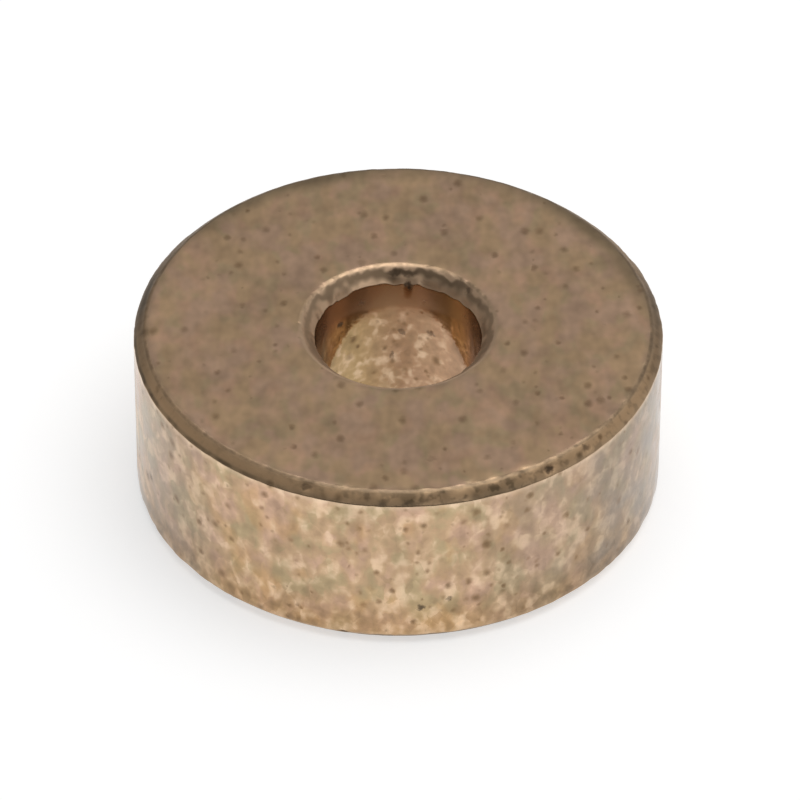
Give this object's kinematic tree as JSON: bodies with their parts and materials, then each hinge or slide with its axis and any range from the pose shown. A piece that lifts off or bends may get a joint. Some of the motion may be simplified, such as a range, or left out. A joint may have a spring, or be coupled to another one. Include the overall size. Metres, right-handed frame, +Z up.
{
  "type": "graphite bronze bushing",
  "caption": "Thick-walled plain bushing of sintered bronze with graphite in its pores: a short ring with flat faces and a chamfered through bore that a shaft runs in.",
  "frame": {"origin": "centre of the lower face, on the bore's axis, where the ring stands", "axes": "+Z up along the bore's axis; the ring is round, so X and Y are any two directions across it"},
  "size_m": [0.019, 0.019, 0.0068],
  "materials": {
    "sintered_bronze": "satin porous sintered bronze with dark graphite specks"
  },
  "bodies": {
    "root": {"bushing": "sintered_bronze"}
  },
  "joints": []
}
